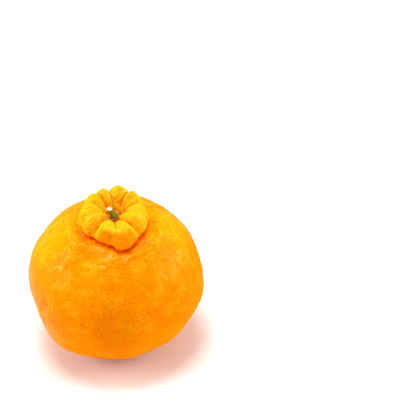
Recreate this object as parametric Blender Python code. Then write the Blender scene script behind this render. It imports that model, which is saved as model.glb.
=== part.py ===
"""A dekopon: a mandarin whose rind rises round the stem in a knobbly, folded neck.

The fruit, its calyx and its cut stem are three solids. Lengths are in metres, +Z is up, and the
origin is the middle of the flat spot that the fruit rests on. The fruit is shaped standing
straight and is then tipped forward, the way it settles. Headings round its axis are in degrees
from the front (-Y), growing towards the right (+X); latitudes are in degrees above its equator.
"""

import math

import bmesh
import bpy
import numpy as np
from mathutils import Matrix, Vector, noise

# Driving dimensions of the body
BODY_RADIUS = 0.0448
EQUATOR_HEIGHT = 0.0413
LOWER_DEPTH = 0.0419
UPPER_RISE = 0.0408
TIP_FORWARD = 11.0
FOOT_SHIFT = (0.0011, 0.0007)

# The neck: where its axis stands off the body's, and the hollow in its top
NECK_OFFSET = (0.0005, -0.0015)
HOLLOW_RADIUS = 0.0036
HOLLOW_FLOOR = 0.0822

# Round the neck: heading, radius of the lip, how far the lip hangs over the root (below zero where
# the shoulder flares up into the neck instead), radius and height of the crown, how full the lobe
# stays towards the hollow, and how steeply it drops from the crown to the lip
NECK_ROUND = (
    (7, 0.0202, 0.0034, 0.0130, 0.0875, 0.3, 0.9),
    (19, 0.0198, 0.0032, 0.0130, 0.0875, 0.3, 0.9),
    (31, 0.0184, 0.0030, 0.0122, 0.0875, 0.4, 0.8),
    (43, 0.0174, 0.0026, 0.0104, 0.0875, 0.8, 0.5),
    (62, 0.0168, 0.0022, 0.0106, 0.0888, 1.0, 0.3),
    (90, 0.0164, 0.0008, 0.0108, 0.0892, 0.7, 0.1),
    (117, 0.0174, -0.0018, 0.0122, 0.0900, 0.4, 0.0),
    (138, 0.0172, -0.0036, 0.0122, 0.0910, 0.1, 0.0),
    (166, 0.0162, -0.0054, 0.0110, 0.0926, 0.0, 0.0),
    (188, 0.0156, -0.0058, 0.0104, 0.0914, 0.0, 0.0),
    (202, 0.0162, -0.0058, 0.0108, 0.0918, 0.0, 0.0),
    (230, 0.0176, -0.0040, 0.0115, 0.0918, 0.1, 0.0),
    (262, 0.0168, -0.0014, 0.0108, 0.0898, 0.6, 0.0),
    (283, 0.0160, 0.0008, 0.0096, 0.0890, 1.0, 0.1),
    (299, 0.0164, 0.0018, 0.0100, 0.0896, 1.0, 0.3),
    (317, 0.0156, 0.0026, 0.0094, 0.0876, 0.8, 0.5),
    (340, 0.0160, 0.0032, 0.0114, 0.0874, 0.4, 0.8),
    (352, 0.0174, 0.0034, 0.0124, 0.0875, 0.3, 0.9),
)

# The creases between the lobes: heading, half-width, and depth at the lip, on the crown and in
# the hollow
CREASES = (
    (42, 18, 0.0014, 0.0024, 0.0018),
    (79, 13, 0.0004, 0.0012, 0.0014),
    (102, 15, 0.0008, 0.0028, 0.0018),
    (142, 14, 0.0012, 0.0022, 0.0012),
    (184, 16, 0.0018, 0.0018, 0.0008),
    (218, 14, 0.0012, 0.0022, 0.0016),
    (251, 13, 0.0004, 0.0014, 0.0018),
    (283, 14, 0.0004, 0.0022, 0.0020),
    (315, 19, 0.0012, 0.0022, 0.0018),
    (356, 18, 0.0012, 0.0002, 0.0004),
    (4, 13, 0.0000, 0.0008, 0.0018),
)
CREASE_WANDER = 5.0

# How round the bottom of a crease is, as a share of its half-width, and the factor that makes up
# for the depth that the rounding takes
CREASE_ROUNDING = 0.12
CREASE_GAIN = 1.6

# How far the shoulder sinks under a lip that hangs over it by at least the last of these, and the
# width over which it sinks
SHOULDER_DIP = 0.0013
DIP_WIDTH = 0.0045
DIP_OVERHANG = 0.0030

# Knobs on the neck: heading, distance from its axis, width and height
NECK_KNOBS = (
    (345, 0.0094, 0.0026, 0.0006),
    (20, 0.0096, 0.0028, 0.0007),
    (62, 0.0120, 0.0046, 0.0008),
    (299, 0.0116, 0.0044, 0.0008),
    (262, 0.0128, 0.0036, 0.0005),
    (232, 0.0124, 0.0036, 0.0005),
    (122, 0.0120, 0.0034, 0.0005),
    (166, 0.0100, 0.0036, 0.0003),
)

# The calyx on the floor of the hollow, and the cut stem standing on it
CALYX_RADIUS = 0.0028
CALYX_LOBES = 5
CALYX_THICKNESS = 0.0006
CALYX_CURL = 0.0003
STEM_LENGTH = 0.0044
STEM_FOOT_OFFSET = 0.0003
STEM_BASE_RADIUS = 0.0021
STEM_TIP_RADIUS = 0.0015
STEM_LEAN = (-0.0021, 0.0003)
STEM_RIBS = 6
RIB_HEIGHT = 0.00007
CLEARANCE = 0.00045

# Lumps of the skin: their size and height, and whether only the neck has them
LUMPS = (
    (0.026, 0.0008, False),
    (0.010, 0.0004, False),
    (0.005, 0.0003, True),
)

# Bulges and furrows of the body: heading and latitude where each begins and ends, its width and
# how far it stands out
BODY_STROKES = (
    ((96, 20), (70, 30), 0.020, -0.0012),
    ((-75, 22), (-95, 34), 0.018, -0.0012),
    ((110, 59), (62, 62), 0.0065, 0.0011),
    ((-108, 63), (-58, 60), 0.0065, 0.0012),
    ((-4, 43), (-4, 14), 0.0050, -0.0006),
    ((-71, 37), (-54, 13), 0.0024, -0.0004),
    ((-54, 13), (-53, -12), 0.0024, -0.0004),
    ((-82, 30), (-66, 0), 0.0050, 0.0004),
    ((25, -31), (25, -31), 0.0085, -0.0018),
    ((57, -16), (57, -16), 0.0060, -0.0006),
    ((-70, -11), (-70, -11), 0.0090, -0.0016),
    ((-48, -27), (-48, -27), 0.0100, 0.0010),
    ((77, -5), (77, -5), 0.0120, 0.0013),
    ((-18, -33), (-18, -33), 0.0100, -0.0009),
    ((24, 36), (36, 36), 0.0015, -0.0004),
)

# Resolution of the fruit's solid
HEADINGS = 104
RINGS = 54
NECK_SHARE = 0.42


def smooth_step(low, high, value):
    share = np.clip((value - low) / (high - low), 0.0, 1.0)
    return share * share * (3.0 - 2.0 * share)


def spline(stations, share):
    """Each row's place along its own stations, as a Catmull-Rom spline, and its direction there."""
    last = stations.shape[1] - 1
    place = np.clip(share, 0.0, 1.0) * last
    index = np.minimum(place.astype(int), last - 1)
    part = (place - index)[:, None]
    row = np.arange(len(share))
    before, start, end, after = (
        stations[row, np.clip(index + step, 0, last)] for step in (-1, 0, 1, 2)
    )
    slope, bend = end - before, 2.0 * before - 5.0 * start + 4.0 * end - after
    twist = 3.0 * start - before - 3.0 * end + after
    point = start + 0.5 * (slope * part + bend * part**2 + twist * part**3)
    direction = 0.5 * (slope + 2.0 * bend * part + 3.0 * twist * part**2)
    return point, direction


def around(heading, column):
    """A column of NECK_ROUND at each heading, eased from one row to the next right round."""
    rows = NECK_ROUND
    places = np.array([rows[-1][0] - 360.0] + [row[0] for row in rows] + [rows[0][0] + 360.0])
    values = np.array([rows[-1][column]] + [row[column] for row in rows] + [rows[0][column]])
    turned = np.degrees(heading) % 360.0
    index = np.clip(np.searchsorted(places, turned, side="right") - 1, 0, len(places) - 2)
    share = (turned - places[index]) / (places[index + 1] - places[index])
    ease = share * share * (3.0 - 2.0 * share)
    return values[index] + (values[index + 1] - values[index]) * ease


def turn_between(first, second):
    """The smallest turn from the second heading to the first, in degrees."""
    return (first - second + 180.0) % 360.0 - 180.0


def crease_depth(heading, share):
    """How deep each point of the neck lies in the creases between the lobes."""
    wander = np.array(
        [noise.noise(Vector((3.0 * s, math.sin(h), math.cos(h)))) for s, h in zip(share, heading)]
    )
    degrees = np.degrees(heading) + CREASE_WANDER * wander
    depth = np.zeros_like(heading)
    for place, width, at_lip, at_crown, at_hollow in CREASES:
        here = np.interp(share, (0.0, 0.2, 0.5, 0.75, 1.0), (0.0, at_lip, at_crown, at_hollow, 0.0))
        away = np.hypot(turn_between(degrees, place) / width, CREASE_ROUNDING)
        near = np.clip(1.0 - away, 0.0, 1.0)
        depth = np.maximum(depth, CREASE_GAIN * here * (1.0 - np.sqrt(1.0 - near**2)))
    return depth


def body_skin(heading, share):
    """Radius and height of the body, from the middle of its foot to the neck's root. The shoulder
    dips towards the root where the lip hangs over it."""
    overhang = around(heading, 2)
    root = around(heading, 1) - overhang
    angle = share * (math.pi - np.arcsin(root / BODY_RADIUS))
    depth = np.where(angle > math.pi / 2, UPPER_RISE, LOWER_DEPTH)
    radius = BODY_RADIUS * np.sin(angle)
    near = np.exp(-(((radius - root) / DIP_WIDTH) ** 2)) * (angle > math.pi / 2)
    dip = SHOULDER_DIP * np.clip(overhang / DIP_OVERHANG, 0.0, 1.0) * near
    return radius, EQUATOR_HEIGHT - depth * np.cos(angle) - dip


def neck_skin(heading, share):
    """Radius and height of the neck, from its root over the lip and crown into the hollow."""
    root, foot = body_skin(heading, np.ones_like(share))
    lip, crown, top = around(heading, 1), around(heading, 3), around(heading, 4)
    rise, drop, inside = top - foot, top - HOLLOW_FLOOR, crown - HOLLOW_RADIUS
    full, steep = around(heading, 5), around(heading, 6)
    stations = np.stack(
        [
            np.column_stack(pair)
            for pair in (
                (root, foot),
                (root + 0.62 * (lip - root), foot + 0.07 * rise),
                (lip, foot + 0.28 * rise),
                (lip - 0.16 * (lip - crown), foot + (0.66 - 0.20 * steep) * rise),
                (lip - 0.55 * (lip - crown), foot + (0.92 - 0.16 * steep) * rise),
                (crown, top),
                (crown - (0.45 + 0.10 * full) * inside, top - (0.22 - 0.14 * full) * drop),
                (crown - (0.88 + 0.10 * full) * inside, top - (0.70 - 0.22 * full) * drop),
                (0.80 * HOLLOW_RADIUS + 0.0 * root, HOLLOW_FLOOR + 0.0002 + 0.0 * root),
                (0.0 * root, HOLLOW_FLOOR + 0.0 * root),
            )
        ],
        axis=1,
    )
    point, direction = spline(stations, share)
    length = np.maximum(np.linalg.norm(direction, axis=1), 1e-9)
    depth = crease_depth(heading, share)
    return (
        point[:, 0] - depth * direction[:, 1] / length,
        point[:, 1] + depth * direction[:, 0] / length,
    )


def body_place(heading, latitude):
    """The point of the plain body at a heading and latitude."""
    turn, up = math.radians(heading), math.radians(latitude)
    return np.array(
        (
            BODY_RADIUS * math.cos(up) * math.sin(turn),
            -BODY_RADIUS * math.cos(up) * math.cos(turn),
            EQUATOR_HEIGHT + UPPER_RISE * math.sin(up),
        )
    )


def strokes(points):
    """How far the body's bulges and furrows lift each point."""
    rise = np.zeros(len(points))
    for begins, ends, width, height in BODY_STROKES:
        start, end = body_place(*begins), body_place(*ends)
        along = end - start
        reach = max(float(along @ along), 1e-12)
        share = np.clip((points - start) @ along / reach, 0.0, 1.0)[:, None]
        away = np.linalg.norm(points - start - share * along, axis=1)
        rise += height * np.exp(-((away / width) ** 2))
    return rise


def knobs(points):
    """How far the neck's knobs lift each point."""
    rise = np.zeros(len(points))
    for heading, distance, width, height in NECK_KNOBS:
        turn = math.radians(heading)
        across = points[:, 0] - distance * math.sin(turn)
        along = points[:, 1] + distance * math.cos(turn)
        rise += height * np.exp(-(across**2 + along**2) / width**2)
    return rise


def lumps(points, on_neck):
    """Broad and small lumps of the skin."""
    rise = np.zeros(len(points))
    for size, height, neck_only in LUMPS:
        scale = height * (on_neck if neck_only else 1.0)
        rise += scale * np.array([noise.noise(Vector(point) / size) for point in points])
    return rise


def settled(points):
    """Moves points of the straight fruit to where they lie once it has tipped forward."""
    middle = np.array((0.0, 0.0, EQUATOR_HEIGHT))
    tip = np.array(Matrix.Rotation(math.radians(TIP_FORWARD), 3, "X"))
    return (np.asarray(points) - middle) @ tip.T + middle - (*FOOT_SHIFT, 0.0)


def fruit_skin(directions):
    """Moves points of a unit sphere onto the dekopon's skin."""
    heading = np.arctan2(directions[:, 0], -directions[:, 1])
    share = np.arccos(np.clip(-directions[:, 2], -1.0, 1.0)) / math.pi
    on_neck = share > 1.0 - NECK_SHARE
    body_share = np.clip(share / (1.0 - NECK_SHARE), 0.0, 1.0)
    neck_share = np.clip((share - 1.0 + NECK_SHARE) / NECK_SHARE, 0.0, 1.0)
    body_radius, body_height = body_skin(heading, body_share)
    neck_radius, neck_height = neck_skin(heading, neck_share)
    radius = np.where(on_neck, neck_radius, body_radius)
    height = np.where(on_neck, neck_height, body_height)
    points = np.column_stack((radius * np.sin(heading), -radius * np.cos(heading), height))
    outwards = points - (0.0, 0.0, EQUATOR_HEIGHT)
    outwards /= np.linalg.norm(outwards, axis=1)[:, None]
    neck_part = smooth_step(0.05, 0.35, neck_share) * (1.0 - smooth_step(0.85, 0.95, neck_share))
    raised = lumps(points, neck_part) + strokes(points) + neck_part * knobs(points)
    points += outwards * raised[:, None]
    lift = smooth_step(EQUATOR_HEIGHT, EQUATOR_HEIGHT + UPPER_RISE, points[:, 2])
    points[:, :2] += np.outer(lift, NECK_OFFSET)
    points = settled(points)
    points[:, 2] = np.maximum(points[:, 2], 0.0)
    return points


def hollow_floor():
    """Height of the middle of the hollow's floor, before the fruit tips."""
    middle = np.array([(0.0, 0.0, HOLLOW_FLOOR)])
    return HOLLOW_FLOOR + float(lumps(middle, 0.0)[0] + strokes(middle)[0])


def material(name, colour, roughness):
    made = bpy.data.materials.new(name)
    made.use_nodes = True
    shader = made.node_tree.nodes["Principled BSDF"]
    shader.inputs["Base Color"].default_value = (*colour, 1.0)
    shader.inputs["Roughness"].default_value = roughness
    shader.inputs["Metallic"].default_value = 0.0
    return made


def add_object(name, mesh, collection, finish):
    obj = bpy.data.objects.new(name, mesh)
    mesh.materials.append(finish)
    collection.objects.link(obj)
    return obj


def build_fruit(collection):
    shape = bmesh.new()
    bmesh.ops.create_uvsphere(shape, u_segments=HEADINGS, v_segments=RINGS, radius=1.0)
    points = fruit_skin(np.array([vert.co for vert in shape.verts]))
    for vert, point in zip(shape.verts, points):
        vert.co = point
    mesh = bpy.data.meshes.new("fruit")
    shape.to_mesh(mesh)
    shape.free()
    mesh.shade_smooth()
    return add_object("fruit", mesh, collection, material("rind", (0.95, 0.33, 0.01), 0.42))


def lathe(name, rows, collection, finish):
    """A closed solid from rings of points, which run from the middle of its underside outwards and
    up to the middle of its upper side. The first and last rows are those two middle points."""
    shape = bmesh.new()
    rings = [[shape.verts.new(place) for place in settled(row)] for row in rows]
    count = len(rings[1])
    for step in range(count):
        after = (step + 1) % count
        shape.faces.new((rings[0][0], rings[1][after], rings[1][step]))
        shape.faces.new((rings[-1][0], rings[-2][step], rings[-2][after]))
        for low, high in zip(rings[1:-2], rings[2:-1]):
            shape.faces.new((low[step], low[after], high[after], high[step]))
    mesh = bpy.data.meshes.new(name)
    shape.to_mesh(mesh)
    shape.free()
    return add_object(name, mesh, collection, finish)


def ring_points(centre, radii, heights):
    turn = np.linspace(0.0, 2.0 * math.pi, len(radii), endpoint=False)
    return np.column_stack(
        (centre[0] + radii * np.sin(turn), centre[1] - radii * np.cos(turn), heights)
    )


def build_calyx(collection):
    """A five-lobed disc whose lobes turn up at their tips."""
    turn = np.linspace(0.0, 2.0 * math.pi, 60, endpoint=False)
    base = hollow_floor() + CLEARANCE
    rows = [[(*NECK_OFFSET, base)]]
    for lift, shares in ((0.0, (0.3, 0.6, 0.85, 1.0)), (CALYX_THICKNESS, (0.97, 0.8, 0.55, 0.3))):
        for share in shares:
            radii = CALYX_RADIUS * share * (1.0 - 0.14 * share * (1.0 - np.cos(CALYX_LOBES * turn)))
            heights = base + lift + CALYX_CURL * (radii / CALYX_RADIUS) ** 4
            rows.append(ring_points(NECK_OFFSET, radii, heights))
    rows.append([(*NECK_OFFSET, base + CALYX_THICKNESS)])
    return lathe("calyx", rows, collection, material("calyx", (0.30, 0.22, 0.06), 0.7))


def build_stem(collection):
    """The cut stem: a ribbed stalk that flares at its foot and leans."""
    turn = np.linspace(0.0, 2.0 * math.pi, 36, endpoint=False)
    foot = hollow_floor() + 2.0 * CLEARANCE + CALYX_THICKNESS + CALYX_CURL
    ribs = RIB_HEIGHT * np.cos(STEM_RIBS * turn)
    stations = np.linspace(0.0, 1.0, 9)
    rows = []
    for share in stations:
        centre = (
            NECK_OFFSET[0] + STEM_FOOT_OFFSET + STEM_LEAN[0] * share**1.2,
            NECK_OFFSET[1] + STEM_LEAN[1] * share**1.2,
        )
        radius = STEM_TIP_RADIUS + (STEM_BASE_RADIUS - STEM_TIP_RADIUS) * (1.0 - share) ** 2
        height = foot + STEM_LENGTH * share
        if share == stations[0]:
            rows.append([(*centre, height)])
        rows.append(ring_points(centre, radius + ribs, np.full(len(turn), height)))
        if share == stations[-1]:
            rows.append([(*centre, height)])
    return lathe("stem", rows, collection, material("stem", (0.22, 0.16, 0.03), 0.65))


def main():
    for obj in list(bpy.data.objects):
        bpy.data.objects.remove(obj)
    collection = bpy.data.collections.new("dekopon")
    bpy.context.scene.collection.children.link(collection)
    build_fruit(collection)
    build_calyx(collection)
    build_stem(collection)


main()
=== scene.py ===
"""A dekopon with its looks: pitted rind, folded neck, calyx and cut stem, on a pale floor.

Lengths are in metres and +Z is up. The rind follows the same rule as the solid that it stands
for, on a much finer mesh: the fruit is shaped standing straight and is then tipped forward.
Headings round its axis are in degrees from the front (-Y), growing towards the right (+X), and
latitudes are in degrees above its equator.
"""

import math

import bmesh
import bpy
import numpy as np
from bpy.props import FloatProperty, FloatVectorProperty, IntProperty, PointerProperty
from mathutils import Matrix, Vector, noise


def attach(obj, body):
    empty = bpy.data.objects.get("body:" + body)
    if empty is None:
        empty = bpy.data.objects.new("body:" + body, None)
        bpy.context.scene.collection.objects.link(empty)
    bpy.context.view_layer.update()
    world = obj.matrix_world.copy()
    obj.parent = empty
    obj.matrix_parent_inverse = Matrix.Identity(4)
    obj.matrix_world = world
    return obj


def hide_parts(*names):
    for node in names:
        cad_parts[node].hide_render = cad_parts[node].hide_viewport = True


bl_info = {
    "name": "Dekopon",
    "version": (1, 0, 0),
    "blender": (4, 5, 0),
    "location": "3D View > Sidebar > Dekopon",
    "description": "Builds the rind, calyx and stem of a dekopon, and a plain stage for it",
    "category": "Object",
}

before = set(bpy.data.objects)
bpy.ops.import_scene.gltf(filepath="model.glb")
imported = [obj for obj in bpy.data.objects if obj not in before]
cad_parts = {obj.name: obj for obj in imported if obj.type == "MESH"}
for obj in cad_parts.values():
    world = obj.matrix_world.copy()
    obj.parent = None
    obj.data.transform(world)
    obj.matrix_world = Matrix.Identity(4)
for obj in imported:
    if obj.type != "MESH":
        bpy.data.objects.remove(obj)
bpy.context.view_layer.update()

# Driving dimensions of the body
BODY_RADIUS = 0.0448
EQUATOR_HEIGHT = 0.0413
LOWER_DEPTH = 0.0419
UPPER_RISE = 0.0408
TIP_FORWARD = 11.0
FOOT_SHIFT = (0.0011, 0.0007)

# The neck: where its axis stands off the body's, the hollow in its top with the height at which its
# sides meet the floor, and the neck's share of the skin's way from the foot to the hollow
NECK_OFFSET = (0.0005, -0.0015)
HOLLOW_RADIUS = 0.0036
HOLLOW_FLOOR = 0.0822
HOLLOW_DISH = 0.0002
NECK_SHARE = 0.42

# Round the neck: heading, radius of the lip, how far the lip hangs over the root (below zero where
# the shoulder flares up into the neck instead), radius and height of the crown, how full the lobe
# stays towards the hollow, and how steeply it drops from the crown to the lip
NECK_ROUND = (
    (7, 0.0202, 0.0034, 0.0130, 0.0875, 0.3, 0.9),
    (19, 0.0198, 0.0032, 0.0130, 0.0875, 0.3, 0.9),
    (31, 0.0184, 0.0030, 0.0122, 0.0875, 0.4, 0.8),
    (43, 0.0174, 0.0026, 0.0104, 0.0875, 0.8, 0.5),
    (62, 0.0168, 0.0022, 0.0106, 0.0888, 1.0, 0.3),
    (90, 0.0164, 0.0008, 0.0108, 0.0892, 0.7, 0.1),
    (117, 0.0174, -0.0018, 0.0122, 0.0900, 0.4, 0.0),
    (138, 0.0172, -0.0036, 0.0122, 0.0910, 0.1, 0.0),
    (166, 0.0162, -0.0054, 0.0110, 0.0926, 0.0, 0.0),
    (188, 0.0156, -0.0058, 0.0104, 0.0914, 0.0, 0.0),
    (202, 0.0162, -0.0058, 0.0108, 0.0918, 0.0, 0.0),
    (230, 0.0176, -0.0040, 0.0115, 0.0918, 0.1, 0.0),
    (262, 0.0168, -0.0014, 0.0108, 0.0898, 0.6, 0.0),
    (283, 0.0160, 0.0008, 0.0096, 0.0890, 1.0, 0.1),
    (299, 0.0164, 0.0018, 0.0100, 0.0896, 1.0, 0.3),
    (317, 0.0156, 0.0026, 0.0094, 0.0876, 0.8, 0.5),
    (340, 0.0160, 0.0032, 0.0114, 0.0874, 0.4, 0.8),
    (352, 0.0174, 0.0034, 0.0124, 0.0875, 0.3, 0.9),
)

# The creases between the lobes: heading, half-width, and depth at the lip, on the crown and in
# the hollow. The narrow ones are pleats within a lobe.
CREASES = (
    (42, 18, 0.0014, 0.0024, 0.0018),
    (79, 13, 0.0004, 0.0012, 0.0014),
    (102, 15, 0.0008, 0.0028, 0.0018),
    (142, 14, 0.0012, 0.0022, 0.0012),
    (184, 16, 0.0018, 0.0018, 0.0008),
    (218, 14, 0.0012, 0.0022, 0.0016),
    (251, 13, 0.0004, 0.0014, 0.0018),
    (283, 14, 0.0004, 0.0022, 0.0020),
    (315, 19, 0.0012, 0.0022, 0.0018),
    (356, 18, 0.0012, 0.0002, 0.0004),
    (4, 13, 0.0000, 0.0005, 0.0016),
)
PLEATS = (
    (111, 4.0, 0.0002, 0.0007, 0.0006),
    (119, 4.5, 0.0003, 0.0009, 0.0008),
    (127, 4.5, 0.0003, 0.0008, 0.0007),
    (135, 4.5, 0.0002, 0.0006, 0.0005),
    (158, 4.5, 0.0001, 0.0003, 0.0004),
    (174, 4.0, 0.0001, 0.0003, 0.0004),
    (204, 4.5, 0.0001, 0.0003, 0.0003),
    (236, 5.0, 0.0001, 0.0004, 0.0004),
    (268, 4.5, 0.0001, 0.0003, 0.0003),
    (298, 5.0, 0.0001, 0.0003, 0.0003),
    (62, 5.0, 0.0002, 0.0003, 0.0003),
    (90, 4.5, 0.0001, 0.0003, 0.0003),
)

# How far a crease strays from its heading, in degrees, how quickly that changes on its way, and
# the shares of the neck's skin at the root, lip, crown, hollow and the hollow's middle
CREASE_WANDER = 5.0
CREASE_TURNS = 3.0
CREASE_PLACES = (0.0, 0.2, 0.5, 0.75, 1.0)

# How round the bottom of a crease is, as a share of its half-width, and the factor that makes up
# for the depth that the rounding takes
CREASE_ROUNDING = 0.12
CREASE_GAIN = 1.6

# How far the shoulder sinks under a lip that hangs over it by at least the last of these, and the
# width over which it sinks
SHOULDER_DIP = 0.0013
DIP_WIDTH = 0.0045
DIP_OVERHANG = 0.0030

# Knobs on the neck: heading, distance from its axis, width and height
NECK_KNOBS = (
    (345, 0.0094, 0.0026, 0.0006),
    (20, 0.0096, 0.0028, 0.0007),
    (62, 0.0120, 0.0046, 0.0008),
    (299, 0.0116, 0.0044, 0.0008),
    (262, 0.0128, 0.0036, 0.0005),
    (232, 0.0124, 0.0036, 0.0005),
    (122, 0.0120, 0.0034, 0.0005),
    (166, 0.0100, 0.0036, 0.0003),
)

# Where the neck's knobs and small lumps begin, are full, fade and end, as shares of its skin
KNOB_BAND = (0.05, 0.35, 0.85, 0.95)

# Lumps of the skin: their size and height, and whether only the neck has them
LUMPS = (
    (0.026, 0.0008, False),
    (0.010, 0.0004, False),
    (0.005, 0.0003, True),
)

# Bulges and furrows of the body: heading and latitude where each begins and ends, its width and
# how far it stands out
BODY_STROKES = (
    ((96, 20), (70, 30), 0.020, -0.0012),
    ((-75, 22), (-95, 34), 0.018, -0.0012),
    ((110, 59), (62, 62), 0.0065, 0.0011),
    ((-108, 63), (-58, 60), 0.0065, 0.0012),
    ((-4, 43), (-4, 14), 0.0050, -0.0006),
    ((-71, 37), (-54, 13), 0.0024, -0.0004),
    ((-54, 13), (-53, -12), 0.0024, -0.0004),
    ((-82, 30), (-66, 0), 0.0050, 0.0004),
    ((25, -31), (25, -31), 0.0085, -0.0018),
    ((57, -16), (57, -16), 0.0060, -0.0006),
    ((-70, -11), (-70, -11), 0.0090, -0.0016),
    ((-48, -27), (-48, -27), 0.0100, 0.0010),
    ((77, -5), (77, -5), 0.0120, 0.0013),
    ((-18, -33), (-18, -33), 0.0100, -0.0009),
    ((24, 36), (36, 36), 0.0015, -0.0004),
)

# Fine ridges and furrows of the shoulder, in the same form
WRINKLES = (
    ((-95, 62), (-76, 61), 0.0022, 0.0005),
    ((-76, 61), (-56, 62), 0.0022, 0.0004),
    ((-94, 66), (-76, 66), 0.0016, -0.0004),
    ((-76, 66), (-56, 67), 0.0016, -0.0004),
    ((-34, 60), (-14, 60), 0.0008, 0.00030),
    ((-30, 57), (-10, 58), 0.0008, 0.00028),
    ((-27, 55), (-12, 54), 0.0008, 0.00025),
    ((-4, 61), (12, 62), 0.0010, 0.00035),
    ((-2, 57), (10, 57), 0.0008, 0.00020),
    ((70, 60), (84, 63), 0.0009, 0.00035),
    ((80, 59), (95, 61), 0.0009, 0.00035),
    ((88, 65), (106, 66), 0.0009, -0.00035),
    ((44, 62), (64, 64), 0.0012, 0.00035),
    ((-4, 40), (-4, 20), 0.0016, -0.0003),
    ((-40, 50), (-22, 44), 0.0030, -0.0003),
    ((48, 46), (66, 38), 0.0030, -0.0004),
)

# Fine ridges down the left cheek, in the same form
CHEEK_RIDGES = (
    ((-60, 14), (-60, -4), 0.0013, 0.00035),
    ((-60, -4), (-54, -14), 0.0013, 0.00035),
    ((-50, 12), (-52, -9), 0.0012, 0.00040),
)

# The puckers round the neck's foot: where they begin, are full, fade and end, counted from the
# neck's axis, then their width and height, and how quickly they change on their way round
PUCKER_BAND = (0.0165, 0.0200, 0.0250, 0.0330)
PUCKER_WIDTH = 0.0020
PUCKER_RISE = 0.0004
PUCKER_BREAKS = 2.6

# The blossom scar in the underside: how wide and deep its dimple is, the radii at which its brown
# starts to fade and ends, and how far they wander
SCAR_WIDTH = 0.0032
SCAR_DEPTH = 0.0006
SCAR_FADE = (0.0010, 0.0021)
SCAR_WANDER = 0.0012

# Painted shade in the fold under the lip, a deeper red-orange where the lip shades the shoulder:
# how far it spreads over the shoulder, the overhang from which it is full, and the shares of the
# neck's skin between which it fades up the lip
FOLD_SHADE_WIDTH = 0.0021
FOLD_SHADE_OVERHANG = 0.0020
FOLD_SHADE_FADE = (0.06, 0.22)

# Sizes of the noise in the rind's colour: broad patches, mottling and the finest grain
BROAD_SIZE = 0.03
MOTTLE_SIZE = 0.006
GRAIN_SIZE = 0.0005

# How far the pit of an oil gland reaches, in spacings of the glands, and the level between pebbles
PIT_REACH = 0.68
PEBBLE_LEVEL = 0.45

# Heights at which the upper shoulder begins and is full: its skin is waxier there, and it is
# painted lighter as light from above
SHOULDER_HEIGHTS = (0.052, 0.070)

# How strongly parts of the rind take on another colour: mottles the light one, with painted light
# from above added on the shoulder; neck, crown and crests the light one as painted light; the front
# lobe's face the deep one as painted shade; pits their own colour, less what the neck takes off;
# creases and the fold under the lip the red-orange of painted shade
MOTTLE_LIGHT = 0.4
SHOULDER_PAINTED_LIGHT = 0.3
NECK_PAINTED_LIGHT = 0.52
CROWN_PAINTED_LIGHT = 0.55
CREST_PAINTED_LIGHT = 0.4
FACE_PAINTED_SHADE = 0.55
PIT_TINT = 0.7
NECK_PIT_LOSS = 0.42
CREASE_PAINTED_SHADE = 0.85
FOLD_PAINTED_SHADE = 0.95

# The wax: its shares on crown, shoulder and the neck's crests, how even and how glinting it is on
# crown and shoulder and on the left cheek, the film over all, and the grain at which a glint begins
# and is full
CROWN_WAX = 0.6
SHOULDER_WAX = 0.4
CREST_WAX = 0.2
UPPER_EVEN, UPPER_GLINTS = 0.05, 1.5
CHEEK_EVEN, CHEEK_GLINTS = 0.22, 0.6
WAX_FILM = 0.02
GLINT_GRAIN = (0.57, 0.64)

# How much mottles, pits and the scar add to the rind's roughness
MOTTLE_DULLNESS = 0.16
PIT_DULLNESS = 0.08
SCAR_DULLNESS = 0.3

# Painted light: yellower, lighter patches high on the shoulders, where the light from above falls.
# The share of their radius within which they are full, then each one's middle, radius and strength
LIT_FLUSH_CORE = 0.25
LIT_FLUSHES = (
    ((-0.032, -0.002, 0.070), 0.025, 0.45),
    ((0.029, -0.004, 0.075), 0.020, 0.40),
    ((0.020, 0.032, 0.062), 0.026, 0.50),
)

# The waxier, paler patch low on the left cheek: its middle, and where its wax starts to fade and
# ends
WAXY_CHEEK = (-0.040, -0.014, 0.032)
CHEEK_FADE = (0.008, 0.030)

# How far the edges of the painted lit patches and the waxier patch wander
PATCH_WANDER = 0.012

# Painted shade on the front lobe's face, a deeper orange where it turns away from the light above:
# the heading of its middle, and how far from there it starts to fade and ends
FRONT_LOBE = (3.0, 24.0, 40.0)

# The shares of the neck's skin over which the neck, with its painted light, and the painted shade
# on the front lobe's face come in
NECK_FADE = 0.25
FACE_FADE = 0.1

# The crown, painted paler as light from above: the shares of the neck's skin where it begins, is
# full, starts to fade and ends, and how much further in it begins and is full on the front lobe
CROWN_BAND = (0.28, 0.50, 0.76, 0.94)
CROWN_SHIFT = (0.14, 0.04)

# Crests and hollows as the rind's colour reads them, for painted light on crests and painted shade
# in hollows: rounds of smoothing that the skin is compared with, and the height that counts as full
BROAD_RELIEF = (40, 0.0009)
FINE_RELIEF = (6, 0.0003)

# How far the calyx and the stem each stand clear of what is under them
CLEARANCE = 0.00045

# The calyx on the floor of the hollow: its points round the edge, its rings as shares of its
# radius, its thickness, how far out its upper side goes, and how much it thins towards the edge
CALYX_STEPS = 120
CALYX_RINGS = (0.2, 0.4, 0.6, 0.75, 0.88, 0.96, 1.0)
CALYX_THICKNESS = 0.0006
CALYX_UPPER = 0.97
CALYX_THINNING = 0.5

# Its lobes: how deep the notches between them are, how far their tips turn up, the heading where
# they are longest, how much they shorten away from it, and the waves that fray their edge, each
# with its height, its count and where it starts
CALYX_NOTCH = 0.14
CALYX_TURN_UP = 0.0021
CALYX_LONGEST = math.radians(72.0)
CALYX_UNEVEN = 0.06
CALYX_FRAYS = ((0.03, 13.0, 0.0), (0.02, 29.0, 1.0))

# The stem: the room for the calyx's curl under it, where its foot stands off the neck's axis, how
# far its tip leans, and how the lean grows on the way up
CALYX_CURL = 0.0003
STEM_FOOT_OFFSET = 0.0003
STEM_LEAN = (-0.0021, 0.0003)
STEM_BEND = 1.2

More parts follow.
